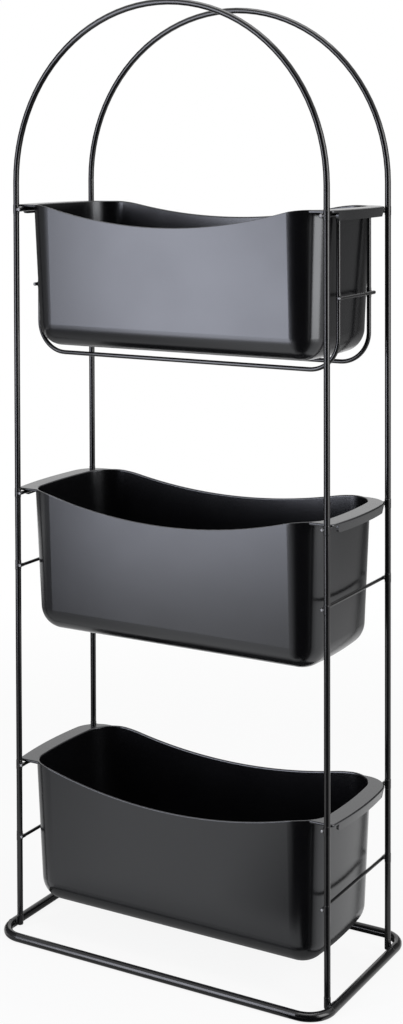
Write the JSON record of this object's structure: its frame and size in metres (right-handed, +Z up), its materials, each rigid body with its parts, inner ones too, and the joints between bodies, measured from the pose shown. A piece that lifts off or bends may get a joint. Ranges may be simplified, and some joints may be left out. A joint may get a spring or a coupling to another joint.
{
  "type": "shower shelf",
  "caption": "Floor-standing shower shelf: a welded wire frame of arched hoops on a base ring, with moulded bins that hook over rods and lift off.",
  "frame": {"origin": "on the floor, under the middle of the base ring", "axes": "+Z up, X along the bins, +Y from the front hoop to the rear hoop"},
  "size_m": [0.34, 0.184, 0.8627],
  "materials": {
    "frame_coat": "satin black powder coat on steel wire",
    "bin_plastic": "satin black moulded plastic"
  },
  "bodies": {
    "frame": {"base_ring": "frame_coat", "front_hoop": "frame_coat", "rear_hoop": "frame_coat", "lower_left_hanger_rod": "frame_coat", "lower_left_guide_rod": "frame_coat", "lower_right_hanger_rod": "frame_coat", "lower_right_guide_rod": "frame_coat", "middle_left_hanger_rod": "frame_coat", "middle_left_guide_rod": "frame_coat", "middle_right_hanger_rod": "frame_coat", "middle_right_guide_rod": "frame_coat", "front_cradle_wire": "frame_coat", "rear_cradle_wire": "frame_coat", "left_cradle_tie": "frame_coat", "right_cradle_tie": "frame_coat"},
    "lower_bin": {"lower_bin": "bin_plastic"},
    "middle_bin": {"middle_bin": "bin_plastic"},
    "upper_bin": {"upper_bin": "bin_plastic"}
  },
  "joints": [
    {"name": "lower_bin_lift", "type": "slide", "parent": "frame", "child": "lower_bin", "axis": [0, 0, 1], "range_m": [0, 0.1]},
    {"name": "middle_bin_lift", "type": "slide", "parent": "frame", "child": "middle_bin", "axis": [0, 0, 1], "range_m": [0, 0.1]},
    {"name": "upper_bin_lift", "type": "slide", "parent": "frame", "child": "upper_bin", "axis": [0, 0, 1], "range_m": [0, 0.05]}
  ]
}
